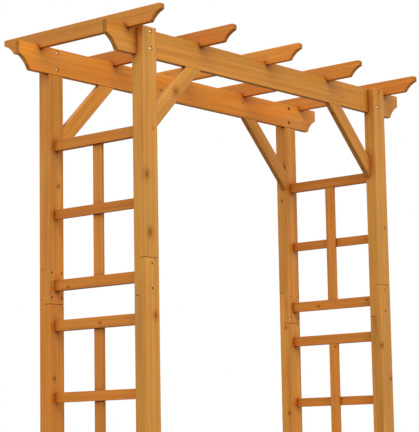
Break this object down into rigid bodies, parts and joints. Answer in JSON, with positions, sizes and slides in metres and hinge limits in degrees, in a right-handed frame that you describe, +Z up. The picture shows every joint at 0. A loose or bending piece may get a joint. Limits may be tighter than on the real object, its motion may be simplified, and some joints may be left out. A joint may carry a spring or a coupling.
{
  "type": "garden arbor",
  "caption": "Timber garden arch with open trellis sides, corner braces and a slatted roof of notched rafters over a pair of beams.",
  "frame": {"origin": "on the ground, in the middle of the four post feet", "axes": "+X along the span from the left side to the right side, +Y from the front to the back, +Z up"},
  "size_m": [1.53, 0.67, 2.1],
  "materials": {
    "post_fir": "honey stained and oiled, satin",
    "beam_fir": "honey stained and oiled, satin",
    "rafter_fir": "honey stained and oiled, satin",
    "brace_fir": "honey stained and oiled, satin",
    "rail_fir": "honey stained and oiled, satin",
    "slat_fir": "honey stained and oiled, satin"
  },
  "bodies": {
    "root": {"front_left_post_upper": "post_fir", "front_left_post_lower": "post_fir", "front_right_post_upper": "post_fir", "front_right_post_lower": "post_fir", "back_left_post_upper": "post_fir", "back_left_post_lower": "post_fir", "back_right_post_upper": "post_fir", "back_right_post_lower": "post_fir", "front_beam": "beam_fir", "back_beam": "beam_fir", "rafter_1": "rafter_fir", "rafter_2": "rafter_fir", "rafter_3": "rafter_fir", "rafter_4": "rafter_fir", "rafter_5": "rafter_fir", "front_left_brace": "brace_fir", "front_right_brace": "brace_fir", "back_left_brace": "brace_fir", "back_right_brace": "brace_fir", "left_rail_1": "rail_fir", "left_rail_2": "rail_fir", "left_rail_3": "rail_fir", "left_rail_4": "rail_fir", "left_rail_5": "rail_fir", "left_rail_6": "rail_fir", "left_rail_7": "rail_fir", "left_rail_8": "rail_fir", "right_rail_1": "rail_fir", "right_rail_2": "rail_fir", "right_rail_3": "rail_fir", "right_rail_4": "rail_fir", "right_rail_5": "rail_fir", "right_rail_6": "rail_fir", "right_rail_7": "rail_fir", "right_rail_8": "rail_fir", "left_slat_upper": "slat_fir", "left_slat_lower": "slat_fir", "right_slat_upper": "slat_fir", "right_slat_lower": "slat_fir"}
  },
  "joints": []
}
